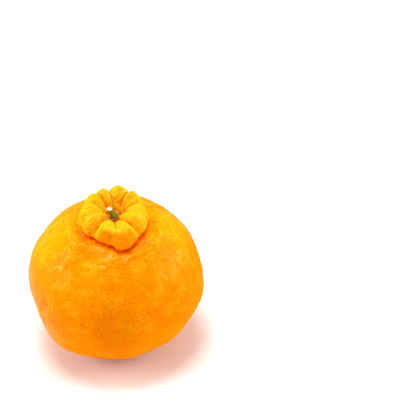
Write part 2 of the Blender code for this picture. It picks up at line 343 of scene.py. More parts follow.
# Its rings: the points in each, the sizes of those under its foot, how many make the bark and the
# share of the length where they end, then the rim's share of the length, size, sink and share of
# cut wood, and the sizes of the cut end's and how far they sink
STEM_STEPS = 96
STEM_FOOT_RINGS = (0.3, 0.6, 0.85)
STEM_BARK_RINGS = 28
STEM_BARK_END = 0.97
STEM_RIM = (0.99, 0.985, 0.0, 0.3)
STEM_CUT_SIZES = (0.95, 0.88, 0.7, 0.45, 0.2, 0.1, 0.0)
STEM_CUT_SINKS = (0.00002, 0.00006, 0.00010, 0.00012, 0.00016, 0.00022, 0.00024)

# The bark's lumps: how quickly they change round and along it, and their share beside the ribs
BARK_ROUND = 2.2
BARK_ALONG = 1.4
BARK_SHARE = 1.2

# Sizes and heights of the bark's streaks and the calyx's fibres
STREAK_SIZE = 0.0008
STREAK_HEIGHT = 0.00015
FIBRE_SIZE = 0.0006
FIBRE_HEIGHT = 0.0001

# The cut end, as shares of its radius: where the darker ring begins and is full, and where the pith
# starts to fade and ends
CUT_RING = (0.70, 0.92)
CUT_PITH = (0.10, 0.24)

# Fineness of the rind's mesh: cuts along each edge of the cube that it grows from
RIND_CUTS = 127

# Inputs of the tree that raises the rind's relief, and the settings that they take
RELIEF_INPUTS = {
    "Pebble Size": "pebble_size",
    "Pebble Height": "pebble_height",
    "Pucker Size": "pucker_size",
    "Pucker Height": "pucker_height",
    "Neck Roughening": "neck_roughening",
    "Foot Fade": "foot_fade",
}

# The camera: focal length and aim in the photograph's pixels, its pitch and its distance
PHOTO_SIDE = 400.0
FOCAL = 960.0
AIM = (115.8, 274.8)
CAMERA_PITCH = math.radians(31.0)
CAMERA_DISTANCE = 0.496

# The lights, all aimed at the fruit's middle: name, place and size
LIGHTS = (
    ("key", (-0.08, -0.07, 1.24), 0.5),
    ("overhead", (0.0, 0.0, 1.24), 1.8),
    ("left", (-1.10, 0.02, 0.44), 0.8),
    ("right", (1.12, 0.0, 0.38), 0.8),
)

# How far the floor reaches from the fruit, and the colour of the surroundings
FLOOR_REACH = 8.0
SKY_COLOUR = (1.0, 0.99, 0.98, 1.0)


# Shader and geometry trees


class Wire:
    """A socket's value in a node tree. Arithmetic on it adds Math nodes."""

    def __init__(self, recipe, socket):
        self.recipe = recipe
        self.socket = socket

    def maths(self, operation, *values):
        return self.recipe.node("ShaderNodeMath", {"operation": operation}, dict(enumerate(values)))

    def __add__(self, other):
        return self.maths("ADD", self, other)

    __radd__ = __add__

    def __sub__(self, other):
        return self.maths("SUBTRACT", self, other)

    def __rsub__(self, other):
        return self.maths("SUBTRACT", other, self)

    def __mul__(self, other):
        return self.maths("MULTIPLY", self, other)

    __rmul__ = __mul__

    def __truediv__(self, other):
        return self.maths("DIVIDE", self, other)

    def __rtruediv__(self, other):
        return self.maths("DIVIDE", other, self)


class Recipe:
    """A node tree under construction, for a material or for geometry."""

    def __init__(self, tree):
        self.tree = tree

    def node(self, kind, settings=None, values=None, output=0):
        """Adds a node: its settings first, then its sockets. Returns one of its outputs."""
        made = self.tree.nodes.new(kind)
        for name, value in (settings or {}).items():
            setattr(made, name, value)
        for name, value in (values or {}).items():
            self.plug(value, made.inputs[name])
        return Wire(self, made.outputs[output]) if made.outputs else None

    def plug(self, value, socket):
        if isinstance(value, Wire):
            self.tree.links.new(value.socket, socket)
        else:
            socket.default_value = value

    def eased(self, value, low, high):
        """0 below low, 1 above high, and smooth between them."""
        return self.node(
            "ShaderNodeMapRange",
            {"interpolation_type": "SMOOTHSTEP"},
            {"Value": value, "From Min": low, "From Max": high},
        )

    def blend(self, share, first, second):
        """From the first colour to the second as share goes from 0 to 1."""
        return self.node(
            "ShaderNodeMix",
            {"data_type": "RGBA"},
            {"Factor": share, 6: colour_value(first), 7: colour_value(second)},
            output=2,
        )

    def kept(self, name):
        """A number that the mesh keeps for each vertex."""
        return self.node("ShaderNodeAttribute", {"attribute_name": name}, output="Fac")

    def noise(self, place, size, detail):
        """Noise from 0 to 1, whose patches have the given size."""
        values = {"Vector": place, "Scale": 1 / size, "Detail": detail}
        return self.node("ShaderNodeTexNoise", values=values)

    def distance(self, place, point):
        """How far each place is from one point."""
        values = {0: place, 1: point}
        return self.node("ShaderNodeVectorMath", {"operation": "DISTANCE"}, values, output="Value")

    def bump(self, height):
        """The normal of a surface raised by a height in metres."""
        values = {"Height": height, "Distance": 1.0, "Strength": 1.0}
        return self.node("ShaderNodeBump", values=values)


def colour_value(colour):
    return colour if isinstance(colour, Wire) else (*colour[:3], 1.0)


def new_material(name, settings):
    """A Principled material with its uniform settings made, and the recipe for its tree."""
    made = bpy.data.materials.new(name)
    made.use_nodes = True
    shader = made.node_tree.nodes["Principled BSDF"]
    for socket, value in settings.items():
        shader.inputs[socket].default_value = value
    return made, Recipe(made.node_tree), shader


# The fruit's rule


def smooth_step(low, high, value):
    share = np.clip((value - low) / (high - low), 0.0, 1.0)
    return share * share * (3.0 - 2.0 * share)


def band(value, start, full, fade, end):
    """0 outside a band, 1 in the middle of it, and smooth between them."""
    return smooth_step(start, full, value) * (1.0 - smooth_step(fade, end, value))


def noise_round(heading, breaks, level):
    """Noise that runs round the axis and closes on itself, and changes with the level."""
    return np.array(
        [
            noise.noise(Vector((breaks * math.sin(h), breaks * math.cos(h), at)))
            for h, at in zip(heading, level)
        ]
    )


def spline(stations, share):
    """Each row's place along its own stations, as a Catmull-Rom spline, and its direction."""
    last = stations.shape[1] - 1
    place = np.clip(share, 0.0, 1.0) * last
    index = np.minimum(place.astype(int), last - 1)
    part = (place - index)[:, None]
    row = np.arange(len(share))
    before, start, end, after = (
        stations[row, np.clip(index + step, 0, last)] for step in (-1, 0, 1, 2)
    )
    slope, bend = end - before, 2.0 * before - 5.0 * start + 4.0 * end - after
    twist = 3.0 * start - before - 3.0 * end + after
    point = start + 0.5 * (slope * part + bend * part**2 + twist * part**3)
    direction = 0.5 * (slope + 2.0 * bend * part + 3.0 * twist * part**2)
    return point, direction


def around(heading, column):
    """A column of NECK_ROUND at each heading, eased from one row to the next right round."""
    rows = NECK_ROUND
    places = np.array([rows[-1][0] - 360.0] + [row[0] for row in rows] + [rows[0][0] + 360.0])
    values = np.array([rows[-1][column]] + [row[column] for row in rows] + [rows[0][column]])
    turned = np.degrees(heading) % 360.0
    index = np.clip(np.searchsorted(places, turned, side="right") - 1, 0, len(places) - 2)
    share = (turned - places[index]) / (places[index + 1] - places[index])
    ease = share * share * (3.0 - 2.0 * share)
    return values[index] + (values[index + 1] - values[index]) * ease


def turn_between(first, second):
    """The smallest turn from the second heading to the first, in degrees."""
    return (first - second + 180.0) % 360.0 - 180.0


def crease_depth(heading, share):
    """How deep each point of the neck lies in the creases between the lobes."""
    wander = np.array(
        [
            noise.noise(Vector((CREASE_TURNS * s, math.sin(h), math.cos(h))))
            for s, h in zip(share, heading)
        ]
    )
    degrees = np.degrees(heading) + CREASE_WANDER * wander
    depth = np.zeros_like(heading)
    for place, width, at_lip, at_crown, at_hollow in CREASES + PLEATS:
        here = np.interp(share, CREASE_PLACES, (0.0, at_lip, at_crown, at_hollow, 0.0))
        away = np.hypot(turn_between(degrees, place) / width, CREASE_ROUNDING)
        near = np.clip(1.0 - away, 0.0, 1.0)
        depth = np.maximum(depth, CREASE_GAIN * here * (1.0 - np.sqrt(1.0 - near**2)))
    return depth


def body_skin(heading, share):
    """Radius and height of the body, from the middle of its foot to the neck's root. The shoulder
    dips towards the root where the lip hangs over it."""
    overhang = around(heading, 2)
    root = around(heading, 1) - overhang
    angle = share * (math.pi - np.arcsin(root / BODY_RADIUS))
    depth = np.where(angle > math.pi / 2, UPPER_RISE, LOWER_DEPTH)
    radius = BODY_RADIUS * np.sin(angle)
    near = np.exp(-(((radius - root) / DIP_WIDTH) ** 2)) * (angle > math.pi / 2)
    dip = SHOULDER_DIP * np.clip(overhang / DIP_OVERHANG, 0.0, 1.0) * near
    return radius, EQUATOR_HEIGHT - depth * np.cos(angle) - dip


def neck_skin(heading, share):
    """Radius and height of the neck, from its root over the lip and crown into the hollow."""
    root, foot = body_skin(heading, np.ones_like(share))
    lip, crown, top = around(heading, 1), around(heading, 3), around(heading, 4)
    rise, drop, inside = top - foot, top - HOLLOW_FLOOR, crown - HOLLOW_RADIUS
    full, steep = around(heading, 5), around(heading, 6)

    # Radius and height of each station: the root, the lip's underside and edge, the outer face, the
    # crown, the inner face, and the hollow's floor
    stations = np.stack(
        [
            np.column_stack(pair)
            for pair in (
                (root, foot),
                (root + 0.62 * (lip - root), foot + 0.07 * rise),
                (lip, foot + 0.28 * rise),
                (lip - 0.16 * (lip - crown), foot + (0.66 - 0.20 * steep) * rise),
                (lip - 0.55 * (lip - crown), foot + (0.92 - 0.16 * steep) * rise),
                (crown, top),
                (crown - (0.45 + 0.10 * full) * inside, top - (0.22 - 0.14 * full) * drop),
                (crown - (0.88 + 0.10 * full) * inside, top - (0.70 - 0.22 * full) * drop),
                (0.80 * HOLLOW_RADIUS + 0.0 * root, HOLLOW_FLOOR + HOLLOW_DISH + 0.0 * root),
                (0.0 * root, HOLLOW_FLOOR + 0.0 * root),
            )
        ],
        axis=1,
    )
    point, direction = spline(stations, share)
    length = np.maximum(np.linalg.norm(direction, axis=1), 1e-9)
    depth = crease_depth(heading, share)
    return (
        point[:, 0] - depth * direction[:, 1] / length,
        point[:, 1] + depth * direction[:, 0] / length,
    )


def body_place(heading, latitude):
    """The point of the plain body at a heading and latitude."""
    turn, up = math.radians(heading), math.radians(latitude)
    return np.array(
        (
            BODY_RADIUS * math.cos(up) * math.sin(turn),
            -BODY_RADIUS * math.cos(up) * math.cos(turn),
            EQUATOR_HEIGHT + UPPER_RISE * math.sin(up),
        )
    )


def strokes(points, rows):
    """How far a list of bulges, furrows or wrinkles lifts each point."""
    rise = np.zeros(len(points))
    for begins, ends, width, height in rows:
        start, end = body_place(*begins), body_place(*ends)
        along = end - start
        reach = max(float(along @ along), 1e-12)
        share = np.clip((points - start) @ along / reach, 0.0, 1.0)[:, None]
        away = np.linalg.norm(points - start - share * along, axis=1)
        rise += height * np.exp(-((away / width) ** 2))
    return rise


def knobs(points):
    """How far the neck's knobs lift each point."""
    rise = np.zeros(len(points))
    for heading, distance, width, height in NECK_KNOBS:
        turn = math.radians(heading)
        across = points[:, 0] - distance * math.sin(turn)
        along = points[:, 1] + distance * math.cos(turn)
        rise += height * np.exp(-(across**2 + along**2) / width**2)
    return rise


def lumps(points, on_neck):
    """Broad and small lumps of the skin."""
    rise = np.zeros(len(points))
    for size, height, neck_only in LUMPS:
        scale = height * (on_neck if neck_only else 1.0)
        rise += scale * np.array([noise.noise(Vector(point) / size) for point in points])
    return rise


def puckers(heading, radius):
    """How far the small wrinkles that run round the foot of the neck lift each point."""
    rise = noise_round(heading, PUCKER_BREAKS, radius / PUCKER_WIDTH)
    return PUCKER_RISE * band(radius, *PUCKER_BAND) * rise


def scar_dimple(points):
    """How far the blossom scar's dimple sinks each point of the underside."""
    away = np.hypot(points[:, 0], points[:, 1])
    below = points[:, 2] < EQUATOR_HEIGHT
    return -SCAR_DEPTH * np.exp(-((away / SCAR_WIDTH) ** 2)) * below


def settled(points):
    """Moves points of the straight fruit to where they lie once it has tipped forward."""
    middle = np.array((0.0, 0.0, EQUATOR_HEIGHT))
    tip = np.array(Matrix.Rotation(math.radians(TIP_FORWARD), 3, "X"))
    return (np.asarray(points) - middle) @ tip.T + middle - (*FOOT_SHIFT, 0.0)


def fruit_skin(directions):
    """Moves points of a unit sphere onto the skin. Also says how much each is of the neck."""
    heading = np.arctan2(directions[:, 0], -directions[:, 1])
    share = np.arccos(np.clip(-directions[:, 2], -1.0, 1.0)) / math.pi
    on_neck = share > 1.0 - NECK_SHARE
    body_share = np.clip(share / (1.0 - NECK_SHARE), 0.0, 1.0)
    neck_share = np.clip((share - 1.0 + NECK_SHARE) / NECK_SHARE, 0.0, 1.0)
    body_radius, body_height = body_skin(heading, body_share)
    neck_radius, neck_height = neck_skin(heading, neck_share)
    radius = np.where(on_neck, neck_radius, body_radius)
    height = np.where(on_neck, neck_height, body_height)
    points = np.column_stack((radius * np.sin(heading), -radius * np.cos(heading), height))
    outwards = points - (0.0, 0.0, EQUATOR_HEIGHT)
    outwards /= np.linalg.norm(outwards, axis=1)[:, None]
    neck_part = band(neck_share, *KNOB_BAND)
    raised = lumps(points, neck_part) + strokes(points, BODY_STROKES) + neck_part * knobs(points)
    raised += strokes(points, CHEEK_RIDGES)
    upper = (1.0 - on_neck) * (height > EQUATOR_HEIGHT)
    raised += upper * (strokes(points, WRINKLES) + puckers(heading, radius)) + scar_dimple(points)
    points += outwards * raised[:, None]
    lift = smooth_step(EQUATOR_HEIGHT, EQUATOR_HEIGHT + UPPER_RISE, points[:, 2])
    points[:, :2] += np.outer(lift, NECK_OFFSET)
    points = settled(points)
    points[:, 2] = np.maximum(points[:, 2], 0.0)
    return points, neck_share, fold_shade_part(heading, body_radius, body_share, neck_share)


def fold_shade_part(heading, radius, body_share, neck_share):
    """How much each point is of the fold under the lip, where the rind's colour is painted with
    shade.
    """
    root = around(heading, 1) - around(heading, 2)
    over = np.clip(around(heading, 2) / FOLD_SHADE_OVERHANG, 0.0, 1.0)
    near = np.exp(-(((radius - root) / FOLD_SHADE_WIDTH) ** 2)) * (body_share > 0.5)
    under = 1.0 - smooth_step(*FOLD_SHADE_FADE, neck_share)
    return over * np.where(neck_share > 0.0, under, near)


def hollow_floor():
    """Height of the middle of the hollow's floor, before the fruit tips."""
    middle = np.array([(0.0, 0.0, HOLLOW_FLOOR)])
    return HOLLOW_FLOOR + float(lumps(middle, 0.0)[0] + strokes(middle, BODY_STROKES)[0])


# Meshes


def mesh_from(shape, name):
    mesh = bpy.data.meshes.new(name)
    shape.to_mesh(mesh)
    shape.free()
    mesh.shade_smooth()
    return mesh


def new_object(name, mesh):
    obj = bpy.data.objects.new(name, mesh)
    bpy.context.scene.collection.objects.link(obj)
    return obj


def keep_value(mesh, name, values):
    """Keeps one number for each vertex as an attribute of the mesh."""
    attribute = mesh.attributes.new(name, "FLOAT", "POINT")
    attribute.data.foreach_set("value", np.asarray(values, dtype=np.float32))


def vertex_array(mesh):
    places = np.empty(len(mesh.vertices) * 3)
    mesh.vertices.foreach_get("co", places)
    return places.reshape(-1, 3)


def valley_depth(mesh, rounds):
    """How far each vertex lies below the average of its surroundings, in metres."""
    points = vertex_array(mesh)
    ends = np.empty(len(mesh.edges) * 2, dtype=np.int64)
    mesh.edges.foreach_get("vertices", ends)
    first, second = ends.reshape(-1, 2).T
    count = np.bincount(ends, minlength=len(points))[:, None]
    smooth = points.copy()
    for _ in range(rounds):
        total = np.column_stack(
            [
                np.bincount(first, smooth[second, axis], len(points))
                + np.bincount(second, smooth[first, axis], len(points))
                for axis in range(3)
            ]
        )
        smooth = 0.5 * smooth + 0.5 * total / count
    normals = np.empty(len(points) * 3)
    mesh.vertex_normals.foreach_get("vector", normals)
    return np.einsum("ij,ij->i", smooth - points, normals.reshape(-1, 3))


def rind_mesh():
    """The fine skin of the fruit, grown from a cube that is cut into small squares."""
    shape = bmesh.new()
    bmesh.ops.create_cube(shape, size=2.0)
    bmesh.ops.subdivide_edges(shape, edges=shape.edges[:], cuts=RIND_CUTS, use_grid_fill=True)
    corners = np.array([vert.co for vert in shape.verts])
    directions = np.tan(corners * math.pi / 4.0)
    directions /= np.linalg.norm(directions, axis=1)[:, None]
    points, neck_share, fold = fruit_skin(directions)
    for vert, point in zip(shape.verts, points):
        vert.co = point
    mesh = mesh_from(shape, "rind")
    keep_value(mesh, "fold", fold)
    keep_neck_parts(mesh, directions, neck_share)
    return mesh


def keep_neck_parts(mesh, directions, neck_share):
    """Keeps how much each vertex is of the neck, of its crown and of the front lobe's face."""
    turned = np.degrees(np.arctan2(directions[:, 0], -directions[:, 1]))
    middle, fade_start, fade_end = FRONT_LOBE
    front = 1.0 - smooth_step(fade_start, fade_end, np.abs(turned - middle))
    start, full, fall_start, fall_end = CROWN_BAND
    rising = smooth_step(start + CROWN_SHIFT[0] * front, full + CROWN_SHIFT[1] * front, neck_share)
    falling = smooth_step(fall_start, fall_end, neck_share)
    keep_value(mesh, "neck", smooth_step(0.0, NECK_FADE, neck_share))
    keep_value(mesh, "crown", rising * (1.0 - falling))
    keep_value(mesh, "face", front * (1.0 - rising) * smooth_step(0.0, FACE_FADE, neck_share))


def relief_tree():
    """Geometry nodes that raise the pebbles and puckers of the rind along its normals."""
    tree = bpy.data.node_groups.new("rind relief", "GeometryNodeTree")
    kinds = {
        "Geometry": "NodeSocketGeometry",
        **dict.fromkeys(RELIEF_INPUTS, "NodeSocketFloat"),
        "Finish": "NodeSocketMaterial",
    }
    sockets = {}
    for name, kind in kinds.items():
        made = tree.interface.new_socket(name, in_out="INPUT", socket_type=kind)
        sockets[name] = made.identifier
    tree.interface.new_socket("Geometry", in_out="OUTPUT", socket_type="NodeSocketGeometry")
    recipe = Recipe(tree)
    inputs = recipe.node("NodeGroupInput").socket.node
    given = {name: Wire(recipe, inputs.outputs[name]) for name in sockets}
    place = recipe.node("GeometryNodeInputPosition")
    pebble = recipe.node(
        "ShaderNodeTexVoronoi",
        {"feature": "SMOOTH_F1"},
        {"Vector": place, "Scale": 1.0 / given["Pebble Size"], "Smoothness": 0.35},
        output="Distance",
    )
    pucker = recipe.noise(place, given["Pucker Size"], 2.0)
    neck = recipe.node(
        "GeometryNodeInputNamedAttribute", {"data_type": "FLOAT"}, {"Name": "neck"}, output=0
    )
    height = recipe.node("ShaderNodeSeparateXYZ", values={"Vector": place}, output="Z")
    foot = recipe.eased(height, 0.0, given["Foot Fade"])
    pebbles = (PEBBLE_LEVEL - pebble) * given["Pebble Height"]
    puckered = (pucker - 0.5) * given["Pucker Height"]
    rise = (pebbles + puckered) * foot * (neck * given["Neck Roughening"] + 1.0)
    outwards = recipe.node("GeometryNodeInputNormal")
    offset = recipe.node(
        "ShaderNodeVectorMath", {"operation": "SCALE"}, {0: outwards, "Scale": rise}
    )
    moved = recipe.node(
        "GeometryNodeSetPosition", values={"Geometry": given["Geometry"], "Offset": offset}
    )
    real = recipe.node("GeometryNodeRealizeInstances", values={"Geometry": moved})
    done = recipe.node(
        "GeometryNodeSetMaterial", values={"Geometry": real, "Material": given["Finish"]}
    )
    recipe.node("NodeGroupOutput", values={"Geometry": done})
    return tree, sockets


def made_plain(obj, tree, sockets, values):
    """Runs a geometry tree on an object with the given inputs and keeps the result as its mesh."""
    modifier = obj.modifiers.new("relief", "NODES")
    modifier.node_group = tree
    for name, value in values.items():
        modifier[sockets[name]] = value
    bpy.context.view_layer.update()
    evaluated = obj.evaluated_get(bpy.context.evaluated_depsgraph_get())
    mesh = bpy.data.meshes.new_from_object(evaluated)
    obj.modifiers.remove(modifier)
    obj.data = mesh
    return mesh


def lathe(rows):
    """A closed shape from rings of points, which run from the middle of its underside outwards and
    up to the middle of its upper side. The first and last rows are those two middle points."""
    shape = bmesh.new()
    rings = [[shape.verts.new(place) for place in settled(row)] for row in rows]
    count = len(rings[1])
    for step in range(count):
        after = (step + 1) % count
        shape.faces.new((rings[0][0], rings[1][after], rings[1][step]))
        shape.faces.new((rings[-1][0], rings[-2][step], rings[-2][after]))
        for low, high in zip(rings[1:-2], rings[2:-1]):
            shape.faces.new((low[step], low[after], high[after], high[step]))
    return shape


def ring_points(centre, radii, heights):
    turn = np.linspace(0.0, 2.0 * math.pi, len(radii), endpoint=False)
    return np.column_stack(
        (centre[0] + radii * np.sin(turn), centre[1] - radii * np.cos(turn), heights)
    )


# Finishes


def rind_finish(look):
    """Semi-gloss citrus rind: oil-gland pits, painted light on shoulder, neck and crests, painted
    shade on the front lobe's face, in the creases and in the folds, a brown blossom scar.
    """
    made, recipe, shader = new_material(
        "rind",
        {
            "Specular IOR Level": 0.0,
            "Coat Roughness": 0.13,
            "Subsurface Weight": 0.1,
            "Subsurface Radius": (1.0, 0.35, 0.08),
            "Subsurface Scale": 0.0008,
        },
    )
    place = recipe.node("ShaderNodeTexCoord", output="Object")
    relief = recipe.kept("relief")
    neck = recipe.kept("neck")
    fold = recipe.kept("fold")
    crown = recipe.kept("crown")
    face = recipe.kept("face")
    broad = recipe.noise(place, BROAD_SIZE, 3.0)
    mottle = recipe.noise(place, MOTTLE_SIZE, 4.0)
    grain = recipe.noise(place, GRAIN_SIZE, 2.0)
    gland = recipe.node(
        "ShaderNodeTexVoronoi",
        {"feature": "F1"},
        {"Vector": place, "Scale": 1.0 / look.pit_spacing, "Randomness": 0.85},
        output="Distance",
    )
    rim = recipe.eased(gland, 0.0, PIT_REACH)

    # Colour: broad patches, mottling with painted light on the shoulder, lit patches, painted light
    # on neck, crown and crests, painted shade on the front lobe's face, pits, painted shade in
    # creases and the fold, then the scar
    colour = recipe.blend(recipe.eased(broad, 0.35, 0.65), look.deep_colour, look.colour)
    level = recipe.node("ShaderNodeSeparateXYZ", values={"Vector": place}, output="Z")
    shoulder = recipe.eased(level, *SHOULDER_HEIGHTS) * (1.0 - neck)
    # The shoulder's share adds painted light from above to the lighter mottles
    patches = recipe.eased(mottle, 0.40, 0.80) * (MOTTLE_LIGHT + shoulder * SHOULDER_PAINTED_LIGHT)
    colour = recipe.blend(patches, colour, look.light_colour)
    # Painted light: lighter patches high on the shoulders where the light from above falls
    for middle, radius, strength in LIT_FLUSHES:
        away = recipe.distance(place, middle)
        away = away + (broad - 0.5) * PATCH_WANDER
        inside = 1.0 - recipe.eased(away, LIT_FLUSH_CORE * radius, radius)
        colour = recipe.blend(inside * strength, colour, look.light_colour)
    scar_place = settled([(0.0, 0.0, EQUATOR_HEIGHT - LOWER_DEPTH)])[0]
    scar_distance = recipe.distance(place, tuple(scar_place))
    scar = 1.0 - recipe.eased(scar_distance + (mottle - 0.5) * SCAR_WANDER, *SCAR_FADE)
    for share, tint in (
        # Painted light from above on the neck and its crown
        (neck * NECK_PAINTED_LIGHT * (1.0 - face) + crown * CROWN_PAINTED_LIGHT, look.light_colour),
        # Painted shade on the front lobe's face
        (face * FACE_PAINTED_SHADE, look.deep_colour),
        # Painted light on the crests
        (recipe.eased(relief, 0.3, 1.0) * CREST_PAINTED_LIGHT, look.light_colour),
        ((1.0 - rim) * (PIT_TINT - neck * NECK_PIT_LOSS), look.pit_colour),
        # Painted shade in the creases and hollows
        (recipe.eased(0.0 - relief, 0.25, 1.0) * CREASE_PAINTED_SHADE, look.shade_colour),
        # Painted shade in the fold under the lip
        (fold * FOLD_PAINTED_SHADE, look.shade_colour),
        (scar, look.scar_colour),
    ):
        colour = recipe.blend(share, colour, tint)
    recipe.plug(colour, shader.inputs["Base Color"])

    # Dullness, and wax that glints on crown and shoulder and lies evenly on the left cheek
    roughness = look.roughness + (mottle - 0.5) * MOTTLE_DULLNESS
    roughness = roughness + (1.0 - rim) * PIT_DULLNESS + scar * SCAR_DULLNESS
    recipe.plug(roughness, shader.inputs["Roughness"])
    cheek_distance = recipe.distance(place, WAXY_CHEEK)
    cheek = 1.0 - recipe.eased(cheek_distance + (broad - 0.5) * PATCH_WANDER, *CHEEK_FADE)
    sparkle = recipe.eased(grain, *GLINT_GRAIN)
    wax = (crown * CROWN_WAX + shoulder * SHOULDER_WAX) * (UPPER_EVEN + sparkle * UPPER_GLINTS)
    wax = wax + neck * recipe.eased(relief, 0.2, 0.9) * CREST_WAX
    wax = wax * recipe.eased(mottle, 0.35, 0.65)
    wax = wax + cheek * (CHEEK_EVEN + sparkle * CHEEK_GLINTS) + WAX_FILM
    recipe.plug(wax, shader.inputs["Coat Weight"])

    # Pits and the finest grain
    height = rim * look.pit_depth + grain * look.grain_height
    recipe.plug(recipe.bump(height), shader.inputs["Normal"])
    return made


def stem_finish(look):
    """Green-brown bark with dry streaks, and a pale cut end with a darker ring and pith."""
    made, recipe, shader = new_material("stem", {"Specular IOR Level": 0.3})
    place = recipe.node("ShaderNodeTexCoord", output="Object")
    cut = recipe.kept("cut")
    along = recipe.kept("along")
    across = recipe.kept("across")
    streak = recipe.noise(place, STREAK_SIZE, 4.0)
    bark = recipe.blend(recipe.eased(streak, 0.42, 0.72), look.bark_colour, look.dry_colour)
    bark = recipe.blend(recipe.eased(along, 0.6, 1.0) * 0.3, bark, look.dry_colour)
    ring = recipe.eased(across, *CUT_RING) * 0.7
    wood = recipe.blend(ring, look.cut_colour, look.dry_colour)
    pith = (1.0 - recipe.eased(across, *CUT_PITH)) * 0.5
    wood = recipe.blend(pith, wood, look.dry_colour)
    recipe.plug(recipe.blend(cut, bark, wood), shader.inputs["Base Color"])
    recipe.plug(0.62 + (streak - 0.5) * 0.2, shader.inputs["Roughness"])
    recipe.plug(recipe.bump(streak * STREAK_HEIGHT), shader.inputs["Normal"])
    return made


def calyx_finish(look):
    """Dry calyx: green towards the middle, straw-coloured at the edges of its lobes."""
    made, recipe, shader = new_material("calyx", {"Specular IOR Level": 0.3})
    place = recipe.node("ShaderNodeTexCoord", output="Object")
    across = recipe.kept("across")
    fibre = recipe.noise(place, FIBRE_SIZE, 3.0)
    colour = recipe.blend(
        recipe.eased(across + (fibre - 0.5) * 0.3, 0.55, 0.95), look.green_colour, look.edge_colour
    )
    recipe.plug(colour, shader.inputs["Base Color"])
    recipe.plug(0.65 + (fibre - 0.5) * 0.2, shader.inputs["Roughness"])
    recipe.plug(recipe.bump(fibre * FIBRE_HEIGHT), shader.inputs["Normal"])
    return made


# Settings


def colour_setting(name, description, default):
    return FloatVectorProperty(
        name=name, description=description, default=default, subtype="COLOR", min=0.0, max=1.0
    )


def length_setting(name, description, default):
    return FloatProperty(
        name=name, description=description, default=default, unit="LENGTH", min=0.0, precision=5
    )


def power_setting(name, description, default):
    return FloatProperty(
        name=name, description=description, default=default, unit="POWER", min=0.0
    )


class RindLook(bpy.types.PropertyGroup):
    colour: colour_setting("Rind", "Main colour of the rind", (0.93, 0.255, 0.0))
    # The rind's deeper patches, and also the painted shade on the front lobe's face
    deep_colour: colour_setting("Deep", "Deeper orange patches", (0.90, 0.21, 0.0))
    # The lighter mottles, and also the painted light on shoulder, neck, crown, crests and lit
    # patches
    light_colour: colour_setting("Light", "Yellower orange on crests", (0.98, 0.45, 0.006))
    pit_colour: colour_setting("Pits", "Deepest orange at the oil glands", (0.90, 0.18, 0.0))
    # Red-orange of the painted shade in the creases and the fold under the lip
    shade_colour: colour_setting("Folds", "Red-orange in the creases", (0.90, 0.11, 0.0))
    scar_colour: colour_setting("Scar", "Brown of the blossom scar", (0.16, 0.07, 0.02))
    roughness: FloatProperty(
        name="Roughness",
        description="How dull the rind is",
        default=0.31,
        subtype="FACTOR",
        min=0.0,
        max=1.0,
    )
    pit_spacing: length_setting("Pit spacing", "Distance between oil glands", 0.00115)
    pit_depth: length_setting("Pit depth", "Depth of the pit at each oil gland", 0.00027)
    grain_height: length_setting("Grain height", "Height of the finest grain", 0.00002)
    pebble_size: length_setting("Pebble size", "Distance between pebbles", 0.0026)
    pebble_height: length_setting("Pebble height", "How far the pebbles stand out", 0.00030)
    pucker_size: length_setting("Pucker size", "Size of the shallow puckers", 0.0055)
    pucker_height: length_setting("Pucker height", "Height of the shallow puckers", 0.0009)
    neck_roughening: FloatProperty(
        name="Neck roughening",
        description="How much rougher the neck is than the body",
        default=0.5,
        min=0.0,
    )
    foot_fade: length_setting("Foot fade", "Height over which the flat spot stays smooth", 0.003)


class CalyxLook(bpy.types.PropertyGroup):
    green_colour: colour_setting("Middle", "Green-brown of the middle", (0.22, 0.17, 0.02))
    edge_colour: colour_setting("Edge", "Straw colour of the lobes' edges", (0.80, 0.58, 0.14))
    radius: length_setting("Radius", "From its middle to the tip of a lobe", 0.0033)
    lobes: IntProperty(name="Lobes", description="Number of lobes", default=5, min=3, max=8)


class StemLook(bpy.types.PropertyGroup):
    bark_colour: colour_setting("Bark", "Olive green of the bark", (0.23, 0.25, 0.014))
    dry_colour: colour_setting("Dry bark", "Brown of the dry streaks", (0.28, 0.17, 0.022))
    cut_colour: colour_setting("Cut end", "Pale wood of the cut end", (0.80, 0.66, 0.42))
    length: length_setting("Length", "From the calyx to the cut end", 0.0044)
    base_radius: length_setting("Foot radius", "Radius where it stands on the calyx", 0.0021)
    tip_radius: length_setting("Tip radius", "Radius just below the cut end", 0.00145)
    ribs: IntProperty(name="Ribs", description="Number of ribs", default=6, min=0, max=12)
    rib_height: length_setting("Rib height", "How far the ribs stand out", 0.00007)


class StageLook(bpy.types.PropertyGroup):
    floor_colour: colour_setting("Floor", "Colour of the floor", (0.90, 0.88, 0.87))
    sky_strength: FloatProperty(
        name="Surrounding light", description="Strength of the white surroundings", default=0.15
    )
    key_power: power_setting("Key light", "Power of the small light above", 11.6)
    overhead_power: power_setting("Overhead light", "Power of the large light above", 6.8)
    left_power: power_setting("Left light", "Power of the light at the left", 12.4)
    right_power: power_setting("Right light", "Power of the light at the right", 12.2)


class DekoponLook(bpy.types.PropertyGroup):
    rind: PointerProperty(type=RindLook, name="Rind", description="Rind of body and neck")
    calyx: PointerProperty(type=CalyxLook, name="Calyx", description="Calyx in the hollow")
    stem: PointerProperty(type=StemLook, name="Stem", description="Cut stem")
    stage: PointerProperty(type=StageLook, name="Stage", description="Floor, light and camera")


# Operators


class DEKOPON_OT_rind(bpy.types.Operator):
    """Builds the rind of body and neck"""

    bl_idname = "dekopon.rind"
    bl_label = "Build rind"

    def execute(self, context):
        look = context.scene.dekopon.rind
        obj = new_object("rind", rind_mesh())
        tree, sockets = relief_tree()
        values = {name: getattr(look, setting) for name, setting in RELIEF_INPUTS.items()}
        values["Finish"] = rind_finish(look)
        mesh = made_plain(obj, tree, sockets, values)
        scales = (BROAD_RELIEF, FINE_RELIEF)
        depth = sum(valley_depth(mesh, rounds) / full for rounds, full in scales)
        keep_value(mesh, "relief", np.clip(-depth, -1.0, 1.0))
        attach(obj, "root")
        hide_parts("fruit")
        return {"FINISHED"}


